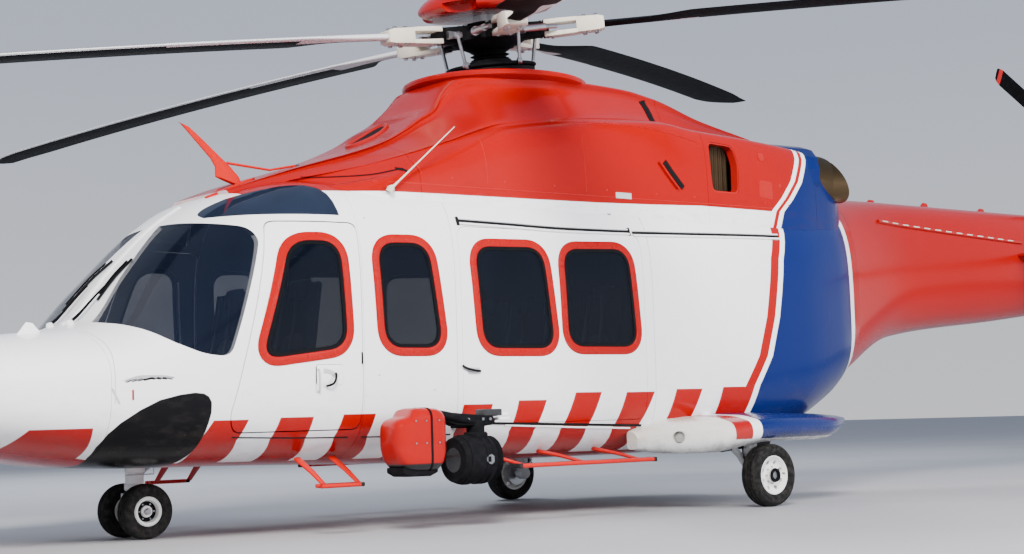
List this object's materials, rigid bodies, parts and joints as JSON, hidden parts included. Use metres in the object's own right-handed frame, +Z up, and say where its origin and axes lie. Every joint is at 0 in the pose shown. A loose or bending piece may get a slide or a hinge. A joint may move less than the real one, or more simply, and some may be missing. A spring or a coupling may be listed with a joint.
{
  "type": "twin-engine medium ambulance helicopter",
  "caption": "Wheeled helicopter with a bladed main rotor on a raised upper deck, hinged crew doors, glazed cabin, side sponsons and a swept tail fin.",
  "frame": {"origin": "on the ground under the middle of the whole machine, blades included", "axes": "+X towards the tail, +Y to starboard, +Z up"},
  "size_m": [16.4374, 13.0172, 4.8803],
  "materials": {
    "white_paint": "glossy white paint",
    "red_paint": "glossy red paint",
    "blue_paint": "glossy blue paint",
    "black_paint": "satin black paint",
    "clear_pane": "tinted clear pane",
    "tyre_rubber": "worn tyre on a white rim",
    "trim_cloth": "dark woven cloth",
    "dark_plastic": "matt black moulding",
    "floor_covering": "grey non-slip sheet",
    "machined_steel": "machined steel and castings",
    "burnt_metal": "heat-browned metal"
  },
  "bodies": {
    "airframe": {"nose": "white_paint", "cockpit_frame": "white_paint", "cabin_frame": "white_paint", "nose_leg": "white_paint", "cabin_door_left": "white_paint", "cabin_door_right": "white_paint", "sponson_left": "white_paint", "sponson_right": "white_paint", "main_leg_left": "white_paint", "main_leg_right": "white_paint", "tail_boom": "red_paint", "tail_fin": "red_paint", "stabiliser": "red_paint", "forward_fairing": "red_paint", "mast_fairing": "red_paint", "engine_cowl": "red_paint", "lamp_pod": "red_paint", "blade_antenna": "red_paint", "crew_step_left": "red_paint", "crew_step_right": "red_paint", "door_step_left": "red_paint", "door_step_right": "red_paint", "rear_fuselage": "blue_paint", "rear_cowl": "blue_paint", "windscreen_left": "clear_pane", "windscreen_right": "clear_pane", "eyebrow_window_left": "clear_pane", "eyebrow_window_right": "clear_pane", "cabin_window_left": "clear_pane", "cabin_window_right": "clear_pane", "door_window_front_left": "clear_pane", "door_window_front_right": "clear_pane", "door_window_rear_left": "clear_pane", "door_window_rear_right": "clear_pane", "cabin_seats": "trim_cloth", "crew_seat_left": "trim_cloth", "crew_seat_right": "trim_cloth", "instrument_panel": "dark_plastic", "cabin_floor": "floor_covering", "powerplant": "machined_steel", "exhaust_left": "burnt_metal", "exhaust_right": "burnt_metal"},
    "crew_door_left": {"crew_door_left": "white_paint", "crew_window_left": "clear_pane"},
    "crew_door_right": {"crew_door_right": "white_paint", "crew_window_right": "clear_pane"},
    "main_rotor": {"rotor_head": "black_paint", "rotor_cap": "red_paint", "rotor_blade_1": "black_paint", "rotor_blade_2": "black_paint", "rotor_blade_3": "black_paint", "rotor_blade_4": "black_paint", "rotor_blade_5": "black_paint"},
    "tail_rotor": {"tail_rotor": "black_paint"},
    "nose_steering": {"nose_fork": "machined_steel"},
    "nose_wheel_pair": {"nose_wheels": "tyre_rubber"},
    "main_wheel_left": {"main_wheel_left": "tyre_rubber"},
    "main_wheel_right": {"main_wheel_right": "tyre_rubber"},
    "searchlight": {"searchlight": "black_paint"}
  },
  "joints": [
    {"name": "main_rotor_spin", "type": "hinge", "parent": "airframe", "child": "main_rotor", "pos_m": [-1.46155, -0.33062, 3.66], "axis": [-0.1175, -0.0347, 0.9925], "continuous": true},
    {"name": "tail_rotor_spin", "type": "hinge", "parent": "airframe", "child": "tail_rotor", "pos_m": [6.96845, 0.09938, 3.63], "axis": [0, 1, 0], "continuous": true},
    {"name": "nose_steer", "type": "hinge", "parent": "airframe", "child": "nose_steering", "pos_m": [-4.48155, -0.33062, 0.35], "axis": [0, 0, 1], "range_deg": [-60, 60]},
    {"name": "nose_wheel_roll", "type": "hinge", "parent": "nose_steering", "child": "nose_wheel_pair", "pos_m": [-4.48155, -0.33062, 0.176], "axis": [0, 1, 0], "continuous": true},
    {"name": "main_wheel_left_roll", "type": "hinge", "parent": "airframe", "child": "main_wheel_left", "pos_m": [-0.15155, -1.85062, 0.2285], "axis": [0, 1, 0], "continuous": true},
    {"name": "main_wheel_right_roll", "type": "hinge", "parent": "airframe", "child": "main_wheel_right", "pos_m": [-0.15155, 1.18938, 0.2285], "axis": [0, 1, 0], "continuous": true},
    {"name": "crew_door_left_hinge", "type": "hinge", "parent": "airframe", "child": "crew_door_left", "pos_m": [-4.42155, -1.44062, 0.9], "axis": [0, 0, -1], "range_deg": [0, 80]},
    {"name": "crew_door_right_hinge", "type": "hinge", "parent": "airframe", "child": "crew_door_right", "pos_m": [-4.42155, 0.77938, 0.9], "axis": [0, 0, 1], "range_deg": [0, 80]},
    {"name": "searchlight_pan", "type": "hinge", "parent": "airframe", "child": "searchlight", "pos_m": [-2.68155, -1.62062, 0.6], "axis": [0, 0, 1], "range_deg": [-90, 90]}
  ]
}
